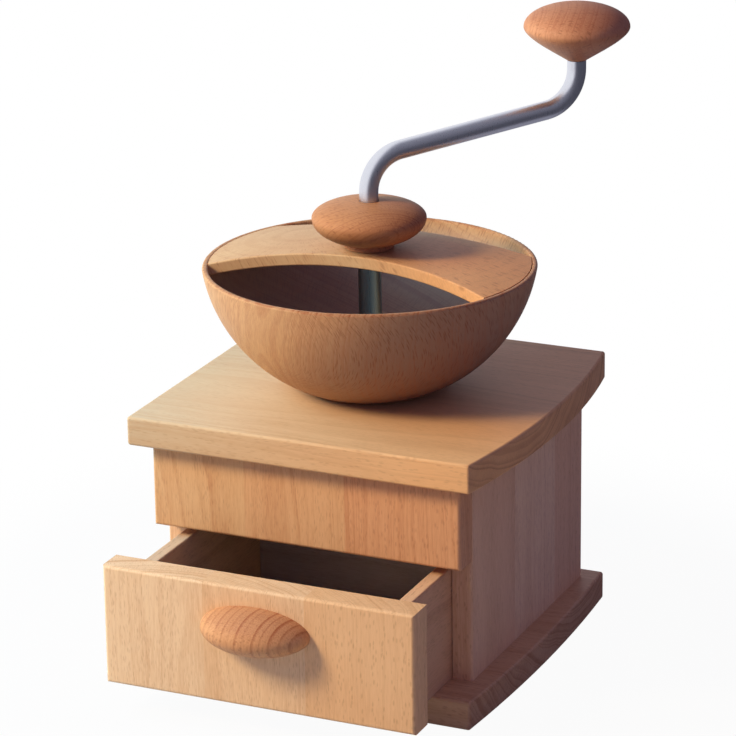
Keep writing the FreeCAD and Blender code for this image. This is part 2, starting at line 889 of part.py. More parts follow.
def all_parts():
    parts = {
        "base_plate": base_plate(),
        "top_plate": top_plate(),
        "left_side_panel": side_panel(-1),
        "right_side_panel": side_panel(1),
        "back_panel": back_panel(),
        "front_board": front_board(),
        "left_drawer_rail": drawer_rail(-1),
        "right_drawer_rail": drawer_rail(1),
        "front_board_dowels": Part.Compound(front_dowels()),
        "back_panel_dowels": Part.Compound(back_dowels()),
        "hopper_bowl": hopper_bowl(),
        "bowl_bridge": bowl_bridge(),
        "bridge_bush": bridge_bush(),
        "throat_bearing": throat_bearing(),
        "stone_holder": stone_holder(),
        "upper_millstone": upper_millstone(),
        "lower_millstone": lower_millstone(),
        "stone_carrier": stone_carrier(),
        "carrier_pin": cross_pin(0),
        "shaft_washer": shaft_washer(),
        "shaft_nut": shaft_nut(),
        "drive_shaft": drive_shaft(),
        "crank_rod": crank_rod(),
        "handle_circlip": handle_circlip(),
        "handle_bush": handle_bush(),
        "crank_handle": crank_handle(),
        "thrust_washer": thrust_washer(),
        "knob_insert": knob_insert(),
        "fineness_knob": fineness_knob(),
        "drawer_front": drawer_front(),
        "drawer_left_side": drawer_side(-1),
        "drawer_right_side": drawer_side(1),
        "drawer_back": drawer_back(),
        "drawer_bottom": drawer_bottom(),
        "drawer_dowels": Part.Compound(drawer_dowels()),
        "drawer_pull": drawer_pull(),
        "drawer_pull_screw": pull_screw(),
    }
    blocks = [corner_block(x, y) for x, y in block_places()]
    parts.update(named_row("corner_block", blocks))
    parts.update(named_row("base_screw", upright_screws(base_screw_places(), 0, base_screw_length)))
    top_screws = upright_screws(block_places(), ceiling_z - block_size, top_screw_length)
    parts.update(named_row("top_screw", top_screws))
    parts.update(named_row("bowl_screw", upright_screws(bowl_screw_places(), ceiling_z, bowl_screw_length)))
    holder_screws = upright_screws(holder_screw_places(), stone_top, holder_screw_length)
    parts.update(named_row("holder_screw", holder_screws))
    return parts


os.makedirs("parts", exist_ok=True)
for name, shape in all_parts().items():
    shape.exportStep("parts/" + name + ".step")
    print(name, shape.isValid(), len(shape.Solids), round(shape.Volume, 1))
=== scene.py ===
import math

import bmesh
import bpy
from mathutils import Matrix, Vector


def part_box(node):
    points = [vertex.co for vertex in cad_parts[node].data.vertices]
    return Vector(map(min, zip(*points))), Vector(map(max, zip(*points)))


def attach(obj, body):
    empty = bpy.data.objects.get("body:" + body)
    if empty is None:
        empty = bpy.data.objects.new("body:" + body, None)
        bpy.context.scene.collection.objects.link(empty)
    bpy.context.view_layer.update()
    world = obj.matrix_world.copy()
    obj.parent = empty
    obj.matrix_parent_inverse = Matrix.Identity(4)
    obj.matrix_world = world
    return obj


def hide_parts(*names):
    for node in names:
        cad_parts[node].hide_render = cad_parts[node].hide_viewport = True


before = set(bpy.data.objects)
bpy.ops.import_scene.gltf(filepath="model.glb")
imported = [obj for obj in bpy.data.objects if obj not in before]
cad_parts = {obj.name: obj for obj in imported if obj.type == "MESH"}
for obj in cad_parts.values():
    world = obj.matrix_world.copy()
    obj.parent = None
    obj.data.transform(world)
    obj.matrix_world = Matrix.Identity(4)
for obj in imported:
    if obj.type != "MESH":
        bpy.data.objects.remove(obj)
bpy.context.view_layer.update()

# A hand grain mill of oiled beech, as it looks in the studio.
# Places are in metres in the part's own frame; sizes named _mm are millimetres.

MM = 0.001

# Directions in the part's frame
RIGHT = Vector((1, 0, 0))
FRONT = Vector((0, -1, 0))
BACK = Vector((0, 1, 0))
UP = Vector((0, 0, 1))


def heading(degrees, rise=0.0):
    """The level direction that many degrees from +X towards +Y, raised by rise degrees."""
    turn = math.radians(degrees)
    lift = math.radians(rise)
    return Vector((math.cos(turn) * math.cos(lift), math.sin(turn) * math.cos(lift), math.sin(lift)))


def linear(colour):
    """An sRGB hex colour as the linear RGBA that Blender's sockets take."""
    channels = [int(colour[i:i + 2], 16) / 255 for i in (1, 3, 5)]
    return tuple(c / 12.92 if c <= 0.04045 else ((c + 0.055) / 1.055) ** 2.4 for c in channels) + (1.0,)


def first(node):
    """A node's first output in use."""
    return next(output for output in node.outputs if output.enabled)


def add(tree, kind, *values, **named):
    """Adds a node. Lower-case names are its settings; the rest are its inputs, linked or set.

    An input that takes many links, as Join Geometry's does, is given a list.
    """
    node = tree.nodes.new(kind)
    for name, value in named.items():
        if name.islower():
            setattr(node, name, value)
    sockets = [socket for socket in node.inputs if socket.enabled]
    by_name = {socket.name: socket for socket in reversed(sockets)}
    pairs = list(zip(sockets, values))
    pairs += [(by_name[name.replace("_", " ")], value) for name, value in named.items() if not name.islower()]
    for socket, given in pairs:
        for value in given if isinstance(given, list) else [given]:
            if isinstance(value, bpy.types.Node):
                value = first(value)
            if isinstance(value, bpy.types.NodeSocket):
                tree.links.new(value, socket)
            elif value is not None:
                socket.default_value = value
    return node


def blank(name):
    """A new material with an empty tree. Returns both."""
    material = bpy.data.materials.new(name)
    material.use_nodes = True
    material.node_tree.nodes.clear()
    return material, material.node_tree


def finish(name, **shader_values):
    """A new material with one Principled shader. Returns material, tree and shader."""
    material, tree = blank(name)
    shader = add(tree, "ShaderNodeBsdfPrincipled", **shader_values)
    add(tree, "ShaderNodeOutputMaterial", Surface=shader)
    return material, tree, shader


def colour_and_bump(tree, shader, colour, **bump_values):
    """Gives a shader its colour and its fine relief."""
    tree.links.new(first(colour), shader.inputs["Base Color"])
    bump = add(tree, "ShaderNodeBump", **bump_values)
    tree.links.new(bump.outputs["Normal"], shader.inputs["Normal"])


def paint(node, material):
    """Puts a material on a CAD node."""
    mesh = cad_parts[node].data
    mesh.materials.clear()
    mesh.materials.append(material)


# Wood: its figure is solid, so each cut face shows its own side of the same rings, rays and fibres

# Staves, and soft ramps of painted light and shade, lie within this distance of the piece's middle, and each
# sharp stave starts at another year
STAVE_AND_RAMP_REACH_MM = 100
STAVE_RING_JUMP = 37.0
# How far apart, across and along the log, the rings change their way
RING_WANDER_MM = (45, 45, 170)
# The shares of a year at which its ring is darkest and at which it starts to end
RING_END = (0.88, 0.90)
WEAKEST_RING = 0.35
# A ray lies in a cell a little larger than itself, dark up to its core and gone at its rim
RAY_CELLS = 0.7
RAY_CORE, RAY_RIM = 0.15, 0.48
# Bundles about 0.7 mm wide and 8 mm long; the single fibres are too fine for the picture
FIBRES_PER_MM = (1.4, 1.4, 0.12)
CLOUD_MM = (22, 22, 90)
CLOUD_DEPTH = 0.6
# How much oil darkens a face along the fibres and one across them
FACE_OIL, END_OIL = 0.1, 0.4
# Painted shade: a grey for the inward faces of a bowl below its rim, how much of it is mixed in, and over how
# many mm it fades in
SHADE_GREY = "#98908C"
SHADE_GREY_SHARE = 0.6
SHADE_GREY_EDGE_MM = 14


def log_place(tree, surface, node, along, outward, pith_mm):
    """Where a point lies in the log, in mm: X out from the pith, Y across the rays, Z along the fibres."""
    low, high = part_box(node)
    along = along.normalized()
    outward = (outward - along * outward.dot(along)).normalized()
    turn = Matrix((outward, along.cross(outward), along))
    middle = turn @ ((low + high) / 2)
    return add(tree, "ShaderNodeMapping", surface.outputs["Object"], vector_type="POINT",
               Location=Vector((pith_mm, 0, 0)) - middle / MM, Rotation=turn.to_euler(), Scale=(1 / MM,) * 3)


def stave_and_light_ramp_tone(tree, surface, node, wide, staves, blend):
    """How much of the second tone a point has. Sharp steps are glued staves, each from another part of the
    log; a soft ramp is painted light and shade across the piece.
    """
    low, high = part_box(node)
    from_middle = add(tree, "ShaderNodeVectorMath", surface.outputs["Object"], (low + high) / 2,
                      operation="SUBTRACT")
    across_mm = add(tree, "ShaderNodeVectorMath", from_middle, wide / MM, operation="DOT_PRODUCT")
    across = add(tree, "ShaderNodeMapRange", across_mm.outputs["Value"], -STAVE_AND_RAMP_REACH_MM, STAVE_AND_RAMP_REACH_MM)
    ramp = add(tree, "ShaderNodeValToRGB", across)
    ramp.color_ramp.interpolation = blend
    stops = ramp.color_ramp.elements
    for number, (start_mm, tone) in enumerate(staves):
        start = (start_mm + STAVE_AND_RAMP_REACH_MM) / (2 * STAVE_AND_RAMP_REACH_MM)
        stop = stops[number] if number < 2 else stops.new(start)
        stop.position = start
        stop.color = (tone, tone, tone, 1)
    return add(tree, "ShaderNodeSeparateColor", ramp.outputs["Color"]).outputs["Red"]


def wandering(tree, wood, wander_mm):
    """The place in a tree that wasn't a perfect cylinder, so its rings wander slowly."""
    per_mm = tuple(1 / size for size in RING_WANDER_MM)
    slow = add(tree, "ShaderNodeVectorMath", wood, per_mm, operation="MULTIPLY")
    wander = add(tree, "ShaderNodeTexNoise", Vector=slow, Scale=1.0, Detail=2.0, Roughness=0.45)
    wander = add(tree, "ShaderNodeVectorMath", wander.outputs["Color"], (0.5, 0.5, 0.5), operation="SUBTRACT")
    sideways = (wander_mm, wander_mm, 0)
    return add(tree, "ShaderNodeVectorMath", wander, sideways, wood, operation="MULTIPLY_ADD")


def year_rings(tree, reach, stave, ring_mm, ring_start, unevenness):
    """Year rings: each darkens slowly outwards and ends sharply. No two are alike in width or strength."""
    years = add(tree, "ShaderNodeMath", reach, 1 / ring_mm, operation="MULTIPLY")
    if stave is not None:
        years = add(tree, "ShaderNodeMath", stave, STAVE_RING_JUMP, years, operation="MULTIPLY_ADD")
    uneven = add(tree, "ShaderNodeTexNoise", W=years, Scale=0.45, Detail=1.0, noise_dimensions="1D")
    years = add(tree, "ShaderNodeMath", uneven, unevenness, years, operation="MULTIPLY_ADD")
    season = add(tree, "ShaderNodeMath", years, operation="FRACT")
    year = add(tree, "ShaderNodeMath", years, operation="FLOOR")
    darkest, last = RING_END
    summer = add(tree, "ShaderNodeMapRange", season, ring_start, darkest, interpolation_type="SMOOTHSTEP")
    winter = add(tree, "ShaderNodeMapRange", season, last, 1.0, 1.0, 0.0, interpolation_type="SMOOTHSTEP")
    ring = add(tree, "ShaderNodeMath", summer, winter, operation="MULTIPLY")
    strength = add(tree, "ShaderNodeTexWhiteNoise", W=year, noise_dimensions="1D")
    strength = add(tree, "ShaderNodeMapRange", strength, 0.0, 1.0, WEAKEST_RING, 1.0)
    return add(tree, "ShaderNodeMath", ring, strength, operation="MULTIPLY")


def ray_dashes(tree, reach, split, pith_mm, dash_mm, dash_width_mm, dash_share):
    """Rays: thin ribbons that stand out from the pith, cut by every face in its own way."""
    bearing = add(tree, "ShaderNodeMath", split.outputs["Y"], split.outputs["X"], operation="ARCTAN2")
    sideways = add(tree, "ShaderNodeMath", bearing, pith_mm, operation="MULTIPLY")
    ribbon = add(tree, "ShaderNodeCombineXYZ", reach, sideways, split.outputs["Z"])
    cells_per_mm = (RAY_CELLS / dash_mm, RAY_CELLS / dash_width_mm, RAY_CELLS / dash_mm)
    ribbon = add(tree, "ShaderNodeVectorMath", ribbon, cells_per_mm, operation="MULTIPLY")
    cell = add(tree, "ShaderNodeTexVoronoi", Vector=ribbon, Scale=1.0, Randomness=1.0)
    kept = add(tree, "ShaderNodeSeparateColor", cell.outputs["Color"])
    kept = add(tree, "ShaderNodeMath", kept.outputs["Red"], dash_share, operation="LESS_THAN")
    dash = add(tree, "ShaderNodeMapRange", cell.outputs["Distance"], RAY_CORE, RAY_RIM, 1.0, 0.0,
               interpolation_type="SMOOTHSTEP")
    return add(tree, "ShaderNodeMath", dash, kept, operation="MULTIPLY")


def fibres(tree, wood):
    """The fine long lines of the fibre bundles, as far below zero as above."""
    bundle = add(tree, "ShaderNodeVectorMath", wood, FIBRES_PER_MM, operation="MULTIPLY")
    noise = add(tree, "ShaderNodeTexNoise", Vector=bundle, Scale=1.0, Detail=2.0, Roughness=0.6)
    return add(tree, "ShaderNodeMath", noise, 0.5, operation="SUBTRACT")


def clouds(tree, wood):
    """The slow change of tone along a board, as far below zero as above."""
    per_mm = tuple(1 / size for size in CLOUD_MM)
    cloud = add(tree, "ShaderNodeVectorMath", wood, per_mm, operation="MULTIPLY")
    noise = add(tree, "ShaderNodeTexNoise", Vector=cloud, Scale=1.0, Detail=3.0)
    return add(tree, "ShaderNodeMath", noise, 0.5, operation="SUBTRACT")


def end_grain(tree, surface, along):
    """The end grain drinks more oil, so it is darker."""
    facing = add(tree, "ShaderNodeVectorMath", surface.outputs["Normal"], along.normalized(),
                 operation="DOT_PRODUCT")
    end = add(tree, "ShaderNodeMath", facing.outputs["Value"], operation="ABSOLUTE")
    return add(tree, "ShaderNodeMapRange", end, 0.5, 1.0, FACE_OIL, END_OIL, interpolation_type="SMOOTHSTEP")


def greyed_as_painted_shade(tree, surface, colour, below_mm):
    """Painted shade: greys the inward faces of a turned bowl below its rim, for the cool tone of the shade
    inside it.
    """
    # a face looks in by its distance from the axis, times how squarely it is turned to it
    inward_start, inward_full = -1 * MM, -8 * MM
    from_axis = add(tree, "ShaderNodeVectorMath", surface.outputs["Object"], (1, 1, 0), operation="MULTIPLY")
    faces_in = add(tree, "ShaderNodeVectorMath", from_axis, surface.outputs["Normal"],
                   operation="DOT_PRODUCT")
    faces_in = add(tree, "ShaderNodeMapRange", faces_in.outputs["Value"], inward_start, inward_full)
    height = add(tree, "ShaderNodeSeparateXYZ", surface.outputs["Object"]).outputs["Z"]
    below = add(tree, "ShaderNodeMapRange", height, below_mm * MM, (below_mm - SHADE_GREY_EDGE_MM) * MM)
    dust = add(tree, "ShaderNodeMath", faces_in, below, operation="MULTIPLY")
    dust = add(tree, "ShaderNodeMath", dust, SHADE_GREY_SHARE, operation="MULTIPLY")
    return add(tree, "ShaderNodeMix", dust, colour, linear(SHADE_GREY), data_type="RGBA")


def beech(name, node, along, outward, pith_mm, pale, late, ray, heart="#E0A476", staves=(), wide=RIGHT,
          blend="CONSTANT", ring_mm=3.2, ring_depth=0.3, end_ring_depth=0.3, ring_start=0.25, unevenness=3.4,
          wander_mm=14.0, dash_mm=3.0, dash_width_mm=0.4, dash_depth=0.3, dash_share=0.5, fibre_depth=0.9,
          dusty_below_mm=None):
    """Solid beech, sanded and oiled: pale, with fine darker year rings and short brown rays.

    The eye gets a warm matt sheen, faint long lines on a face, dashes where the rays are cut across,
    broad flecks where they lie in the face, a darker end grain, and a change of tone from stave to stave.
    A soft ramp of the second tone is painted light and shade, and the grey inside a bowl is painted shade.
    """
    material, tree, shader = finish(name, Roughness=0.5, Specular_IOR_Level=0.25)
    surface = add(tree, "ShaderNodeTexCoord")
    wood = log_place(tree, surface, node, along, outward, pith_mm)
    stave = stave_and_light_ramp_tone(tree, surface, node, wide, staves, blend) if staves else None
    bent = wandering(tree, wood, wander_mm)
    split = add(tree, "ShaderNodeSeparateXYZ", bent)
    level = add(tree, "ShaderNodeVectorMath", bent, (1, 1, 0), operation="MULTIPLY")
    reach = add(tree, "ShaderNodeVectorMath", level, operation="LENGTH").outputs["Value"]
    # a sharp joint breaks the rings, a soft ramp of painted light and shade lets them run on
    ring = year_rings(tree, reach, stave if blend == "CONSTANT" else None, ring_mm, ring_start, unevenness)
    dash = ray_dashes(tree, reach, split, pith_mm, dash_mm, dash_width_mm, dash_share)
    fibre = fibres(tree, wood)
    end = end_grain(tree, surface, along)

    ring_share = add(tree, "ShaderNodeMapRange", end, FACE_OIL, END_OIL,
                     ring_depth, ring_depth + end_ring_depth)
    tone = add(tree, "ShaderNodeMath", ring, ring_share, end, operation="MULTIPLY_ADD")
    tone = add(tree, "ShaderNodeMath", fibre, fibre_depth, tone, operation="MULTIPLY_ADD")
    tone = add(tree, "ShaderNodeMath", clouds(tree, wood), CLOUD_DEPTH, tone, operation="MULTIPLY_ADD",
               use_clamp=True)
    ground = linear(pale)
    # the second colour: heartwood in sharp staves, painted light and shade on a soft ramp
    if staves:
        ground = add(tree, "ShaderNodeMix", stave, linear(pale), linear(heart), data_type="RGBA")
    colour = add(tree, "ShaderNodeMix", tone, ground, linear(late), data_type="RGBA")
    mark = add(tree, "ShaderNodeMath", dash, dash_depth, operation="MULTIPLY")
    colour = add(tree, "ShaderNodeMix", mark, colour, linear(ray), data_type="RGBA")
    # painted shade: the grey inside a bowl below its rim
    if dusty_below_mm:
        colour = greyed_as_painted_shade(tree, surface, colour, dusty_below_mm)
    relief = add(tree, "ShaderNodeMath", dash, -0.6, fibre, operation="MULTIPLY_ADD")
    colour_and_bump(tree, shader, colour, Strength=0.3, Distance=0.05 * MM, Height=relief)
    return material


def dress(node, name, *place, **look):
    """Puts a beech of its own on a CAD node."""
    paint(node, beech(name, node, *place, **look))


# Boards: fibres along X in the plates, upright in the case's boards, along Y in the drawer's sides
BOARD = dict(pale="#E6C095", late="#C08A5C", ray="#9C6640")
DRAWER_BOX = dict(pale="#D2B492", late="#A88868", ray="#806850")
# Painted shade: a greyer tone for the drawer's back and bottom, which lie in the shade inside the drawer
SHADE_GREY_BOX = dict(pale="#B4AFAC", late="#93857C", ray="#76685E")

# Painted light: the top plate ramps from pale and cool on the left, where the cool light falls, to orange on
# the right
dress("top_plate", "oiled beech, top plate", RIGHT, Vector((0, 0.45, -1)), 95,
      pale="#D1B992", late="#BC8656", ray="#9C6640", heart="#ECB67C",
      staves=((-92, 0.0), (70, 1.0)), blend="LINEAR", ring_mm=4.0, ring_depth=0.25, dash_depth=0.2,
      fibre_depth=0.5)
dress("base_plate", "oiled beech, base plate", RIGHT, Vector((0, -0.5, -1)), 120,
      pale="#D8AC80", late="#B27C52", ray="#8A5638", ring_mm=3.5)
# The staves step redder towards the right: glued staves of their own tones, and painted shade for the light
# falling off away from the left
dress("front_board", "oiled beech, front board", UP, Vector((0.4, 1, 0)), 110,
      pale="#E2B984", late="#BE7C4C", ray="#9C5E3A",
      staves=((-100, 0.15), (-34, 0.4), (22, 0.8)), ring_mm=2.6, ring_depth=0.35)
# The staves step redder towards the right: glued staves of their own tones, and painted shade for the light
# falling off away from the left
dress("drawer_front", "oiled beech, drawer front", UP, Vector((0.35, 1, 0)), 90,
      pale="#F4D6AC", late="#CC9A6A", ray="#A8744C", heart="#E8B074",
      staves=((-100, 0.1), (-30, 0.3), (26, 0.6)), ring_mm=3.0, ring_depth=0.22)
# Painted light: the side panels are paler than the other boards, to lift the right side, which lies in shade
for node in ("left_side_panel", "right_side_panel"):
    dress(node, "oiled beech, side panel", UP, Vector((1, 0.4, 0)), 120,
          pale="#F2CDA4", late="#CA9668", ray="#A47050",
          staves=((-100, 0.3), (-20, 0.0), (36, 0.4)), wide=BACK)
dress("back_panel", "oiled beech, back panel", UP, Vector((0.3, -1, 0)), 110,
      staves=((-100, 0.3), (-25, 0.0), (30, 0.5)), **BOARD)
for node in ("drawer_left_side", "left_drawer_rail", "right_drawer_rail"):
    dress(node, "raw beech, drawer side", FRONT, Vector((1, 0, 0.3)), 110, **DRAWER_BOX)
# Painted shade tint: the right drawer side, which lies in shade, gets a more orange colour of its own than
# the left one
dress("drawer_right_side", "raw beech with painted shade tint, right drawer side", FRONT, Vector((1, 0, 0.3)), 110,
      pale="#DEB084", late="#B48460", ray="#8A6044")
# painted shade: the drawer's back and bottom are greyed
dress("drawer_back", "raw beech greyed as painted shade, drawer back", RIGHT, Vector((0, 1, 0.3)), 110, **SHADE_GREY_BOX)
dress("drawer_bottom", "beech plywood greyed as painted shade", RIGHT, Vector((0, 0.05, 1)), 900, **SHADE_GREY_BOX)
for node in ("corner_block_1", "corner_block_2", "corner_block_3", "corner_block_4"):
    dress(node, "raw beech, corner block", UP, Vector((1, 1, 0)), 90, **BOARD)
for node in ("front_board_dowels", "back_panel_dowels", "drawer_dowels"):
    dress(node, "beech dowel", FRONT, UP, 60, **BOARD)

# Turned pieces and the bridge: each is cut from the log at a slant of its own
# Painted shade: the bowl turns a greyer brown towards its lower right and front, its shaded side, and greys
# inside below its rim
dress("hopper_bowl", "turned beech, hopper bowl",
      Vector((0.23, -0.465, 0.855)), Vector((0.53, 0.80, 0.29)), 63.5,
      pale="#D4A472", late="#A8623A", ray="#80421F", heart="#866A5C",
      staves=((-45, 0.9), (-5, 0.0)), wide=Vector((-0.55, 0.25, 0.8)), blend="LINEAR",
      ring_depth=0.25, wander_mm=3, dash_mm=5.5, dash_width_mm=0.3, dash_depth=0.42, dash_share=0.85,
      fibre_depth=0.7, dusty_below_mm=208)
# Painted light: the bridge turns warmer orange towards its right end, standing in for warm light falling
# there
dress("bowl_bridge", "turned beech, bridge",
      Vector((-0.452, -0.145, 0.88)), Vector((0.45, -0.2, 0.2)), 40,
      pale="#DCB380", late="#C08658", ray="#A0603A", heart="#F2AE70",
      staves=((0, 0.0), (45, 0.9)), blend="LINEAR", ring_mm=7.5, ring_depth=0.1, end_ring_depth=0.06,
      ring_start=0.6, wander_mm=3, dash_mm=4.5, dash_width_mm=0.45, dash_depth=0.4)
knob_wood = beech(
    "turned beech, fineness knob", "fineness_knob",
    Vector((0.81, 0.05, 0.58)), Vector((-0.39, 0.79, 0.47)), 46.9,
    pale="#C28454", late="#965230", ray="#7A3E22", ring_mm=2.4, ring_depth=0.34, end_ring_depth=0.1,
    ring_start=0.55, unevenness=1.5, wander_mm=2, dash_mm=2.4, dash_width_mm=0.5, dash_depth=0.4)
# Painted shade: the handle darkens towards its right, back and lower side, which lies in shade
handle_wood = beech(
    "turned beech, crank handle", "crank_handle",
    Vector((0.1, -0.2, 1)), Vector((1, 0.4, 0)), 60,
    pale="#D8996C", late="#A85C3A", ray="#7E4226", heart="#9C6850", staves=((-6, 0.0), (34, 0.8)),
    wide=Vector((0.9, 0.35, -0.2)), blend="LINEAR", ring_mm=3.0, ring_depth=0.25, end_ring_depth=0.05,
    wander_mm=4, dash_mm=2.6, dash_width_mm=0.5, dash_depth=0.4, dash_share=0.45)
dress("drawer_pull", "turned beech, drawer pull",
      Vector((0.11, -0.25, 0.96)), Vector((-0.98, 0.13, 0.15)), 80,
      pale="#D8A06E", late="#9C5533", ray="#8A4C2E", ring_mm=4.2, ring_depth=0.4, end_ring_depth=0.1,
      ring_start=0.55, unevenness=0.9, wander_mm=0.5, dash_mm=1.6, dash_width_mm=0.5)


# Metal, plastic and stone


def drawn_steel(name, along, colour="#DFE1EB"):
    """Drawn round bar, polished along its length: bright with fine lines that run with the bar."""
    roughness = 0.33
    # 0.3 mm apart and 20 mm long, because the real ones are too fine for the picture
    lines_per_mm = (3.3, 3.3, 0.05)
    material, tree, shader = finish(name, Metallic=1.0)
    surface = add(tree, "ShaderNodeTexCoord")
    turn = along.normalized().rotation_difference(UP).to_euler()
    lines = add(tree, "ShaderNodeMapping", surface.outputs["Object"], Rotation=turn,
                Scale=Vector(lines_per_mm) / MM)
    lines = add(tree, "ShaderNodeTexNoise", Vector=lines, Scale=1.0, Detail=2.0)
    rough = add(tree, "ShaderNodeMapRange", lines, 0.3, 0.7, roughness * 0.8, roughness * 1.25)
    tree.links.new(rough.outputs["Result"], shader.inputs["Roughness"])
    shader.inputs["Base Color"].default_value = linear(colour)
    bump = add(tree, "ShaderNodeBump", Strength=0.15, Distance=0.01 * MM, Height=lines)
    tree.links.new(bump.outputs["Normal"], shader.inputs["Normal"])
    return material


def grained(name, colour, dark, grain_mm, metallic=0.0, roughness=0.5, height_mm=0.02):
    """Plating, casting, moulded plastic or grit: the eye gets one even grain in two close tones.

    Where the real grain is too fine for the picture, as on plating and plastic, it is drawn coarser.
    """
    material, tree, shader = finish(name, Metallic=metallic, Roughness=roughness)
    surface = add(tree, "ShaderNodeTexCoord")
    noise = add(tree, "ShaderNodeTexNoise", Vector=surface.outputs["Object"], Scale=1 / (grain_mm * MM),
                Detail=3.0)
    tone = add(tree, "ShaderNodeMapRange", noise, 0.35, 0.65)
    colour = add(tree, "ShaderNodeMix", tone, linear(dark), linear(colour), data_type="RGBA")
    colour_and_bump(tree, shader, colour, Strength=0.4, Distance=height_mm * MM, Height=noise)
    return material


CRANK_ARM = heading(50, 6.6)

crank_steel = drawn_steel("polished steel, crank", CRANK_ARM)
# Painted reflection: the shaft's teal grey colour stands in for the cool reflections it shows inside the bowl
paint("drive_shaft", drawn_steel("polished steel with painted teal reflection, shaft", UP, colour="#8EA8AE"))
zinc = grained("zinc-plated steel", "#C3C4C6", "#A9ABB0", 0.8, metallic=1.0, roughness=0.35)
bronze = grained("sintered bearing bronze", "#C49A62", "#A67C48", 0.4, metallic=1.0, roughness=0.4)
alloy = grained("cast alloy", "#BFC0C2", "#A3A5A8", 0.6, metallic=1.0, roughness=0.5, height_mm=0.05)
plastic = grained("moulded food-safe plastic", "#DED9CB", "#D5CFC0", 0.5, roughness=0.45)
stone = grained("corundum and ceramic stone", "#BEB8AE", "#8E877D", 0.7, roughness=0.9, height_mm=0.4)
for material, nodes in (
        (zinc, ("shaft_washer", "shaft_nut", "carrier_pin", "handle_circlip", "thrust_washer")),
        (bronze, ("bridge_bush", "knob_insert", "handle_bush")),
        (alloy, ("stone_carrier", "throat_bearing")),
        (plastic, ("stone_holder",)),
        (stone, ("upper_millstone", "lower_millstone"))):
    for node in nodes:
        paint(node, material)


# Shapes that follow a rule, each from its own tree of Geometry Nodes with its sizes as named inputs


def new_shape(name, sizes):
    """A tree with one named input for each size. Returns the tree and its inputs by name."""
    tree = bpy.data.node_groups.new(name, "GeometryNodeTree")
    tree.interface.new_socket("Geometry", in_out="OUTPUT", socket_type="NodeSocketGeometry")
    tree.interface.new_socket("Geometry", in_out="INPUT", socket_type="NodeSocketGeometry")
    for size, value in sizes.items():
        kind = "NodeSocketVector" if isinstance(value, Vector) else "NodeSocketFloat"
        tree.interface.new_socket(size, in_out="INPUT", socket_type=kind)
    return tree, tree.nodes.new("NodeGroupInput").outputs


def close(tree, pieces, material):
    """Ends a tree: joins its pieces, makes instances real and sets the material."""
    joined = add(tree, "GeometryNodeJoinGeometry", pieces)
    real = add(tree, "GeometryNodeRealizeInstances", joined)
    add(tree, "NodeGroupOutput", add(tree, "GeometryNodeSetMaterial", real, Material=material))


def run_tree(name, tree, sizes, places):
    """Runs a tree on some places, each with its row number, and keeps the result as a plain object."""
    start = bpy.data.meshes.new(name)
    start.from_pydata([place for place, row in places], [], [])
    rows = start.attributes.new("row", "INT", "POINT")
    rows.data.foreach_set("value", [row for place, row in places])
    piece = bpy.data.objects.new(name, start)
    bpy.context.scene.collection.objects.link(piece)
    modifier = piece.modifiers.new(name, "NODES")
    modifier.node_group = tree
    for socket in tree.interface.items_tree:
        if socket.name in sizes:
            modifier[socket.identifier] = sizes[socket.name]
    bpy.context.view_layer.update()
    shaped = piece.evaluated_get(bpy.context.evaluated_depsgraph_get())
    mesh = bpy.data.meshes.new_from_object(shaped)
    piece.modifiers.remove(modifier)
    piece.data = mesh
    return piece


def made(name, tree, sizes, material, body, replaced, places=()):
    """Makes a closed piece with a tree and lets it ride in place of the CAD nodes."""
    weld = 0.002 * MM
    sharp = math.radians(40)
    piece = run_tree(name, tree, sizes, places)
    mesh = piece.data
    mesh.materials.clear()
    mesh.materials.append(material)
    work = bmesh.new()
    work.from_mesh(mesh)
    for face in work.faces:
        face.material_index = 0
    bmesh.ops.remove_doubles(work, verts=work.verts, dist=weld)
    bmesh.ops.recalc_face_normals(work, faces=work.faces)
    work.to_mesh(mesh)
    work.free()
    mesh.shade_smooth()
    mesh.set_sharp_from_angle(angle=sharp)
    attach(piece, body)
    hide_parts(*replaced)


def raised(tree, point, size):
    """A point moved up."""
    rise = add(tree, "ShaderNodeCombineXYZ", Z=size)
    return add(tree, "ShaderNodeVectorMath", point, rise, operation="ADD")


def lowered(tree, point, size):
    """A point moved down."""
    drop = add(tree, "ShaderNodeCombineXYZ", Z=size)
    return add(tree, "ShaderNodeVectorMath", point, drop, operation="SUBTRACT")


def swept(tree, path, radius, sides):
    """A round bar along a path."""
    section = add(tree, "GeometryNodeCurvePrimitiveCircle", Resolution=sides, Radius=radius)
    return add(tree, "GeometryNodeCurveToMesh", path, section, Fill_Caps=True)


def straight_bar(tree, start, end, radius, sides):
    """A round bar from one point to another."""
    path = add(tree, "GeometryNodeCurvePrimitiveLine", start, end)
    return swept(tree, path, radius, sides)


# Crank: one round bar bent up, out and up again, with a stub in the shaft and a grooved spindle


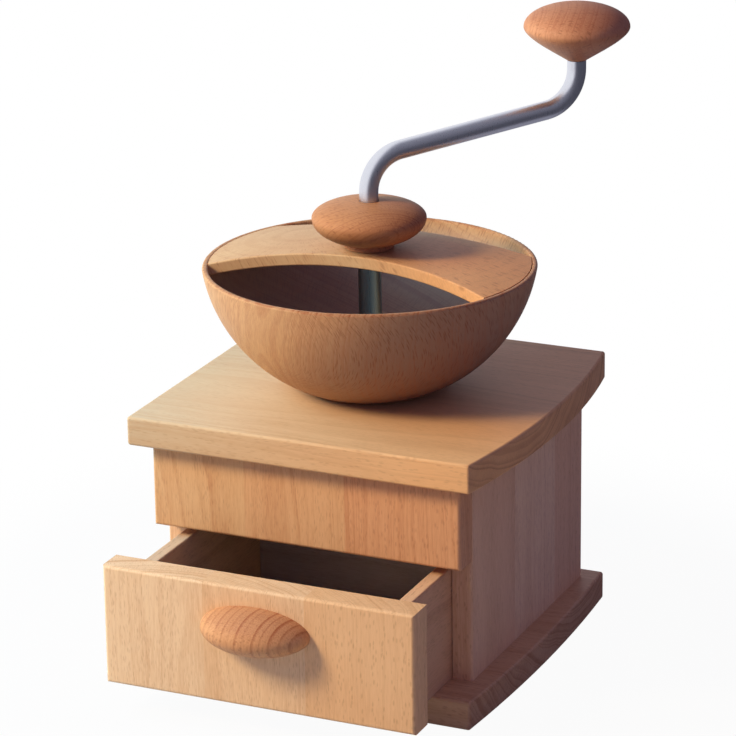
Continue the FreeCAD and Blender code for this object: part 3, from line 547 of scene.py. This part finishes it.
def crank_tree(sizes, material):
    """The bar's path has two filleted corners; the stub and the spindle go on from its ends."""
    tree, size = new_shape("bent crank", sizes)
    foot = size["Foot"]
    low = raised(tree, foot, size["Rise"])
    high = add(tree, "ShaderNodeVectorMath", low, size["Arm"], operation="ADD")
    top = raised(tree, high, size["Upright"])
    runs = ((foot, low), (low, high), (high, top))
    runs = [add(tree, "GeometryNodeCurvePrimitiveLine", *ends) for ends in runs]
    path = add(tree, "GeometryNodeJoinGeometry", runs)
    path = add(tree, "GeometryNodeCurveToMesh", path)
    path = add(tree, "GeometryNodeMergeByDistance", path)
    path = add(tree, "GeometryNodeMeshToCurve", path)
    path = add(tree, "GeometryNodeFilletCurve", path, Radius=size["Bend radius"], Count=20, mode="POLY")
    stub = lowered(tree, foot, size["Stub length"])
    tip = raised(tree, top, size["Spindle length"])
    groove_top = lowered(tree, tip, size["Groove inset"])
    groove_low = lowered(tree, groove_top, size["Groove width"])
    neck = add(tree, "ShaderNodeMath", size["Spindle radius"], size["Groove depth"], operation="SUBTRACT")
    close(tree, [
        swept(tree, path, size["Bar radius"], sides=48),
        straight_bar(tree, stub, foot, size["Stub radius"], sides=32),
        straight_bar(tree, top, groove_low, size["Spindle radius"], sides=32),
        straight_bar(tree, groove_low, groove_top, neck, sides=32),
        straight_bar(tree, groove_top, tip, size["Spindle radius"], sides=32),
    ], material)
    return tree


crank_sizes = {
    "Foot": Vector((0, 0, 236.0)) * MM, "Rise": 29.4 * MM, "Arm": CRANK_ARM * 122.6 * MM,
    "Upright": 22.9 * MM, "Bend radius": 20.5 * MM, "Bar radius": 5.0 * MM, "Stub radius": 4.0 * MM,
    "Stub length": 14.0 * MM, "Spindle radius": 3.0 * MM, "Spindle length": 19.4 * MM,
    "Groove inset": 1.2 * MM, "Groove width": 0.8 * MM, "Groove depth": 0.5 * MM}
made("bent_crank", crank_tree(crank_sizes, crank_steel), crank_sizes, crank_steel, "shaft", ["crank_rod"])


# The lathe: half an outline, swept round the axis


def drawn(tree, out, up):
    """A point of the lathe's drawing: so far out from the axis, so far up."""
    down = add(tree, "ShaderNodeMath", 0.0, up, operation="SUBTRACT")
    return add(tree, "ShaderNodeCombineXYZ", out, down)


def quarter(tree, radius, height, end_radius, middle, points):
    """Part of an oval on the lathe's drawing, from its widest place in to end_radius from the axis."""
    share = add(tree, "GeometryNodeSplineParameter").outputs["Factor"]
    end_share = add(tree, "ShaderNodeMath", end_radius, radius, operation="DIVIDE")
    sweep = add(tree, "ShaderNodeMath", end_share, operation="ARCCOSINE")
    turn = add(tree, "ShaderNodeMath", share, sweep, operation="MULTIPLY")
    out = add(tree, "ShaderNodeMath", turn, operation="COSINE")
    out = add(tree, "ShaderNodeMath", out, radius, operation="MULTIPLY")
    up = add(tree, "ShaderNodeMath", turn, operation="SINE")
    up = add(tree, "ShaderNodeMath", up, height, middle, operation="MULTIPLY_ADD")
    line = add(tree, "GeometryNodeCurvePrimitiveLine")
    line = add(tree, "GeometryNodeResampleCurve", line, Count=points)
    return add(tree, "GeometryNodeSetPosition", line, Position=drawn(tree, out, up))


def turned(tree, curves, corners):
    """Sweeps a drawing of curves and straight-edged corners round the axis, on a circle too small to see."""
    axis_radius = 0.001 * MM
    weld = 0.004 * MM
    edges = [add(tree, "GeometryNodeCurvePrimitiveLine", *ends) for ends in zip(corners, corners[1:])]
    drawing = add(tree, "GeometryNodeJoinGeometry", curves + edges)
    axis = add(tree, "GeometryNodeCurvePrimitiveCircle", Resolution=128, Radius=axis_radius)
    swept_round = add(tree, "GeometryNodeCurveToMesh", axis, drawing)
    return add(tree, "GeometryNodeMergeByDistance", swept_round, Distance=weld)


# Fineness knob: turned, with a foot that covers the bush and the washer


def knob_tree(sizes, material):
    """A flattened ball on a foot, bored for the rod and hollowed from below for the insert and the bush."""
    tree, size = new_shape("turned knob", sizes)
    crown = quarter(tree, size["Radius"], size["Crown"], size["Top radius"], size["Middle"], points=24)
    belly_down = add(tree, "ShaderNodeMath", 0.0, size["Belly"], operation="SUBTRACT")
    belly = quarter(tree, size["Radius"], belly_down, size["Foot radius"], size["Middle"], points=28)
    corners = [("Top radius", "Top"), ("Rod bore", "Top"), ("Rod bore", "Web"), ("Insert radius", "Web"),
               ("Insert radius", "Flange top"), ("Recess radius", "Flange top"),
               ("Recess radius", "Skirt bottom"), ("Foot radius", "Skirt bottom"), ("Foot radius", "Foot")]
    corners = [drawn(tree, size[out], size[up]) for out, up in corners]
    close(tree, [turned(tree, [crown, belly], corners)], material)
    return tree


knob_sizes = {
    "Middle": 233.7 * MM, "Radius": 29.8 * MM, "Crown": 9.4 * MM, "Belly": 14.1 * MM, "Top radius": 7.5 * MM,
    "Foot radius": 13.0 * MM, "Top": 242.798 * MM, "Foot": 221.012 * MM, "Skirt bottom": 218.4 * MM,
    "Recess radius": 11.4 * MM, "Flange top": 222.4 * MM, "Insert radius": 8.52 * MM, "Web": 238.3 * MM,
    "Rod bore": 5.3 * MM}
made("turned_knob", knob_tree(knob_sizes, knob_wood), knob_sizes, knob_wood, "knob", ["fineness_knob"])


# Crank handle: a domed head that tapers to its neck, with a blind bore for the bush


def handle_tree(sizes, material):
    """The dome is part of an oval, and one curve makes the taper from the widest place to the neck."""
    tree, size = new_shape("turned handle", sizes)
    crown = quarter(tree, size["Radius"], size["Crown"], 0.0, size["Middle"], points=24)
    widest = drawn(tree, size["Radius"], size["Middle"])
    belly_end = add(tree, "ShaderNodeMath", size["Middle"], size["Belly fullness"], operation="SUBTRACT")
    belly_pull = drawn(tree, size["Radius"], belly_end)
    taper_end = add(tree, "ShaderNodeMath", size["Middle"], size["Taper drop"], operation="SUBTRACT")
    neck_pull = drawn(tree, size["Taper radius"], taper_end)
    neck = drawn(tree, size["Neck radius"], size["Foot"])
    taper = add(tree, "GeometryNodeCurvePrimitiveBezierSegment", Resolution=28, Start=widest,
                Start_Handle=belly_pull, End_Handle=neck_pull, End=neck)
    corners = [neck, drawn(tree, size["Bore radius"], size["Foot"]),
               drawn(tree, size["Bore radius"], size["Bore top"]), drawn(tree, 0.0, size["Bore top"])]
    head = turned(tree, [crown, taper], corners)
    close(tree, [add(tree, "GeometryNodeTransform", head, Translation=size["Place"])], material)
    return tree


handle_sizes = {
    "Place": Vector((78.283, 93.295, 0)) * MM, "Middle": 320.39 * MM, "Radius": 27.9 * MM, "Crown": 12.1 * MM,
    "Belly fullness": 4.4 * MM, "Taper radius": 13.5 * MM, "Taper drop": 12.4 * MM, "Neck radius": 5.4 * MM,
    "Foot": 302.69 * MM, "Bore radius": 4.22 * MM, "Bore top": 323.79 * MM}
made("turned_handle", handle_tree(handle_sizes, handle_wood), handle_sizes, handle_wood, "handle",
     ["crank_handle"])


# Wood screws: one tree makes a screw, another puts one on each place and picks its length

SCREW = {
    "Shank radius": 2.0 * MM, "Head radius": 3.8 * MM, "Head height": 2.4 * MM, "Point": 3.0 * MM,
    "Pitch": 1.8 * MM, "Thread depth": 0.45 * MM}
# How large each slot of the cross is along X, along Y and upright, in head radii and in head heights.
# Half its height is in the head, and one is a hair lower, so their floors don't lie in one plane.
CROSS_SLOTS = ((1.1, 0.24, 1.0), (0.24, 1.1, 0.94))
PLAIN_SHARE = 0.3
SHANK_SIDES = 16


def screw_tree():
    """A countersunk wood screw, head down at the origin: recessed head, shank, thread and point."""
    tree, size = new_shape("wood screw", {"Length": 0.0, **SCREW})
    shank_end = add(tree, "ShaderNodeMath", size["Length"], size["Point"], operation="SUBTRACT")
    head = add(tree, "GeometryNodeMeshCone", Vertices=24, Radius_Top=size["Shank radius"],
               Radius_Bottom=size["Head radius"], Depth=size["Head height"])
    for shares in CROSS_SLOTS:
        measures = zip(("Head radius", "Head radius", "Head height"), shares)
        slot = [add(tree, "ShaderNodeMath", size[measure], share, operation="MULTIPLY")
                for measure, share in measures]
        slot = add(tree, "ShaderNodeCombineXYZ", *slot)
        slot = add(tree, "GeometryNodeMeshCube", slot)
        head = add(tree, "GeometryNodeMeshBoolean", head, slot, operation="DIFFERENCE")
    head_top = add(tree, "ShaderNodeCombineXYZ", Z=size["Head height"])
    shank_top = add(tree, "ShaderNodeCombineXYZ", Z=shank_end)
    shank = straight_bar(tree, head_top, shank_top, size["Shank radius"], SHANK_SIDES)
    tip = add(tree, "GeometryNodeMeshCone", Vertices=SHANK_SIDES, Radius_Top=0.0,
              Radius_Bottom=size["Shank radius"], Depth=size["Point"])
    # the point starts a hair inside the shank, so the two don't share an edge
    tip_start = add(tree, "ShaderNodeMath", shank_end, 0.01 * MM, operation="SUBTRACT")
    tip_start = add(tree, "ShaderNodeCombineXYZ", Z=tip_start)
    tip = add(tree, "GeometryNodeTransform", tip, Translation=tip_start)
    plain = add(tree, "ShaderNodeMath", size["Length"], PLAIN_SHARE, operation="MULTIPLY")
    threaded = add(tree, "ShaderNodeMath", shank_end, plain, operation="SUBTRACT")
    turns = add(tree, "ShaderNodeMath", threaded, size["Pitch"], operation="DIVIDE")
    helix = add(tree, "GeometryNodeCurveSpiral", Resolution=12, Rotations=turns,
                Start_Radius=size["Shank radius"], End_Radius=size["Shank radius"], Height=threaded)
    thread_start = add(tree, "ShaderNodeCombineXYZ", Z=plain)
    helix = add(tree, "GeometryNodeTransform", helix, Translation=thread_start)
    thread = swept(tree, helix, size["Thread depth"], sides=3)
    joined = add(tree, "GeometryNodeJoinGeometry", [head, shank, tip, thread])
    add(tree, "NodeGroupOutput", joined)
    return tree


def screws_tree(screw, lengths, turn, material):
    """Puts a screw on every point: the point's row number says which of the lengths it has."""
    tree, size = new_shape("rows of wood screws", {**SCREW, **lengths})
    row = add(tree, "GeometryNodeInputNamedAttribute", Name="row", data_type="INT")
    shared = {name.replace(" ", "_"): size[name] for name in SCREW}
    rows = []
    for number, name in enumerate(lengths):
        here = add(tree, "FunctionNodeCompare", row, number, data_type="INT", operation="EQUAL")
        one = add(tree, "GeometryNodeGroup", node_tree=screw, Length=size[name], **shared)
        rows.append(add(tree, "GeometryNodeInstanceOnPoints", size["Geometry"], Selection=here,
                        Instance=one, Rotation=turn))
    close(tree, rows, material)
    return tree


def make_screws(name, lengths, turn, body, nodes, places):
    """Makes the screws of one body."""
    made(name, screws_tree(one_screw, lengths, turn, zinc), {**SCREW, **lengths}, zinc, body, nodes, places)


one_screw = screw_tree()
case_rows = {
    "Base screw length": (38.0 * MM, ["base_screw_1", "base_screw_2", "base_screw_3", "base_screw_4"]),
    "Top screw length": (28.0 * MM, ["top_screw_1", "top_screw_2", "top_screw_3", "top_screw_4"]),
    "Bowl screw length": (21.0 * MM, ["bowl_screw_1", "bowl_screw_2", "bowl_screw_3"]),
    "Holder screw length": (14.0 * MM, ["holder_screw_1", "holder_screw_2", "holder_screw_3"])}
case_nodes = []
case_places = []
for row, (length, nodes) in enumerate(case_rows.values()):
    for node in nodes:
        low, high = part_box(node)
        # the case's screws stand with their heads down
        case_places.append((((low.x + high.x) / 2, (low.y + high.y) / 2, low.z), row))
        case_nodes.append(node)
case_lengths = {name: length for name, (length, nodes) in case_rows.items()}
make_screws("case_wood_screws", case_lengths, (0, 0, 0), "case", case_nodes, case_places)

# the pull's screw lies with its head to the back
low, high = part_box("drawer_pull_screw")
pull_place = (((low.x + high.x) / 2, high.y, (low.z + high.z) / 2), 0)
make_screws("pull_wood_screw", {"Pull screw length": 24.0 * MM}, (math.radians(90), 0, 0), "drawer",
            ["drawer_pull_screw"], [pull_place])


# Studio

# Camera: the photograph's viewing angle, in degrees to the right of the front and down
CAMERA_YAW = 24.43
CAMERA_PITCH = 19.01
CAMERA_ROLL = -0.78
CAMERA_DISTANCE_MM = 1918.75
CAMERA_TARGET_MM = Vector((-1.786, 0.0, 151.12))
CAMERA_SENSOR_MM = 36.0
CAMERA_LENS_MM = 179.2
# The front's own heading, in degrees from +X
FRONT_HEADING = -90


def camera():
    """The photograph's camera."""
    back = heading(FRONT_HEADING + CAMERA_YAW, CAMERA_PITCH)
    level = heading(CAMERA_YAW)
    upright = back.cross(level)
    roll = math.radians(CAMERA_ROLL)
    side = level * math.cos(roll) + upright * math.sin(roll)
    top = back.cross(side)
    data = bpy.data.cameras.new("camera")
    data.sensor_width = CAMERA_SENSOR_MM
    data.lens = CAMERA_LENS_MM
    data.clip_end = 100
    found = bpy.data.objects.new("camera", data)
    found.matrix_world = (Matrix.Translation((CAMERA_TARGET_MM + back * CAMERA_DISTANCE_MM) * MM)
                          @ Matrix((side, top, back)).transposed().to_4x4())
    bpy.context.scene.collection.objects.link(found)
    bpy.context.scene.camera = found


def on_stage(thing):
    """Puts a lamp, the floor or the walls in the studio."""
    bpy.context.scene.collection.objects.link(thing)


def soft_light(name, azimuth, elevation, distance, width, height, power, colour):
    """A soft box that faces the mill. Azimuth is counted from the front towards the left."""
    away = heading(FRONT_HEADING - azimuth, elevation)
    data = bpy.data.lights.new(name, "AREA")
    data.shape = "RECTANGLE"
    data.size = width
    data.size_y = height
    data.energy = power
    data.color = linear(colour)[:3]
    lamp = bpy.data.objects.new(name, data)
    lamp.location = CAMERA_TARGET_MM * MM + away * distance
    lamp.rotation_euler = away.to_track_quat("Z", "Y").to_euler()
    lamp.visible_glossy = False
    on_stage(lamp)


def seen_white(tree):
    """1 for rays from the camera and through or off shiny things, 0 for the light that falls on the mill."""
    path = add(tree, "ShaderNodeLightPath")
    seen = add(tree, "ShaderNodeMath", path.outputs["Is Camera Ray"], path.outputs["Is Glossy Ray"],
               operation="MAXIMUM")
    return add(tree, "ShaderNodeMath", seen, path.outputs["Is Transmission Ray"], operation="MAXIMUM")


def studio_world():
    """The backdrop is white to look at and lights the shaded sides with a little cool light."""
    world = bpy.data.worlds.new("studio")
    bpy.context.scene.world = world
    world.use_nodes = True
    tree = world.node_tree
    tree.nodes.clear()
    fill = add(tree, "ShaderNodeBackground", Color=linear("#BCB3F3"), Strength=0.34)
    white = add(tree, "ShaderNodeBackground", Color=(1, 1, 1, 1), Strength=1.0)
    mix = add(tree, "ShaderNodeMixShader", seen_white(tree), fill, white)
    add(tree, "ShaderNodeOutputWorld", Surface=mix)


def studio_floor():
    """A plain white paper floor that keeps a faint shadow near the mill and ends in white."""
    reach = 1.5
    shadow_end, white_start = 0.2, 0.34
    white_near_mill = 0.955
    mesh = bpy.data.meshes.new("studio_floor")
    corners = [(-reach, -reach, 0), (reach, -reach, 0), (reach, reach, 0), (-reach, reach, 0)]
    mesh.from_pydata(corners, [], [(0, 1, 2, 3)])
    floor = bpy.data.objects.new("studio_floor", mesh)
    material, tree = blank("white paper floor")
    surface = add(tree, "ShaderNodeTexCoord")
    away = add(tree, "ShaderNodeVectorMath", surface.outputs["Object"], operation="LENGTH")
    whiteness = add(tree, "ShaderNodeMapRange", away.outputs["Value"], shadow_end, white_start,
                    white_near_mill, 1.0, interpolation_type="SMOOTHSTEP")
    paper = add(tree, "ShaderNodeBsdfDiffuse", Color=linear("#BEBCBA"))
    glow = add(tree, "ShaderNodeEmission", Color=(1, 1, 1, 1), Strength=1.0)
    share = add(tree, "ShaderNodeMath", seen_white(tree), whiteness, operation="MULTIPLY")
    both = add(tree, "ShaderNodeMixShader", share, paper, glow)
    add(tree, "ShaderNodeOutputMaterial", Surface=both)
    mesh.materials.append(material)
    floor.visible_glossy = False
    on_stage(floor)


def studio_walls():
    """What shiny things show: a white backdrop and a darker right side. It sheds no light on dull ones."""
    radius = 0.9
    left_side = Vector((-0.992, -0.129, 0))
    # where each starts and is full, as a share of the way left or up, and how bright it is at both
    backdrop = (-0.24, 0.26, 0.1, 1.0)
    ceiling = (0.25, 0.95, 0.0, 0.16)
    table = (-0.33, -0.58, 0.0, 0.36)
    work = bmesh.new()
    bmesh.ops.create_icosphere(work, subdivisions=3, radius=radius)
    mesh = bpy.data.meshes.new("studio_walls")
    work.to_mesh(mesh)
    work.free()
    walls = bpy.data.objects.new("studio_walls", mesh)
    material, tree = blank("studio walls")
    surface = add(tree, "ShaderNodeTexCoord")
    where = add(tree, "ShaderNodeVectorMath", surface.outputs["Object"], operation="NORMALIZE")
    left = add(tree, "ShaderNodeVectorMath", where, left_side, operation="DOT_PRODUCT")
    left = add(tree, "ShaderNodeMapRange", left.outputs["Value"], *backdrop, interpolation_type="SMOOTHSTEP")
    height = add(tree, "ShaderNodeSeparateXYZ", where).outputs["Z"]
    above = add(tree, "ShaderNodeMapRange", height, *ceiling)
    below = add(tree, "ShaderNodeMapRange", height, *table, interpolation_type="SMOOTHSTEP")
    level = add(tree, "ShaderNodeMath", left, above, operation="ADD", use_clamp=True)
    level = add(tree, "ShaderNodeMath", level, below, operation="MAXIMUM")
    shade = add(tree, "ShaderNodeMix", level, linear("#E2E2FF"), linear("#FFFFFF"), data_type="RGBA")
    glow = add(tree, "ShaderNodeEmission", Color=shade, Strength=level)
    add(tree, "ShaderNodeOutputMaterial", Surface=glow)
    mesh.materials.append(material)
    walls.visible_camera = walls.visible_diffuse = walls.visible_shadow = False
    on_stage(walls)


camera()
studio_world()
studio_floor()
studio_walls()
soft_light("warm soft box", azimuth=44, elevation=34, distance=1.6, width=0.36, height=0.42, power=24.5,
           colour="#FFE6C0")
soft_light("cool soft box", azimuth=72, elevation=32, distance=0.62, width=0.35, height=0.4, power=4.0,
           colour="#A2DCFF")

bpy.context.scene.view_settings.view_transform = "Standard"
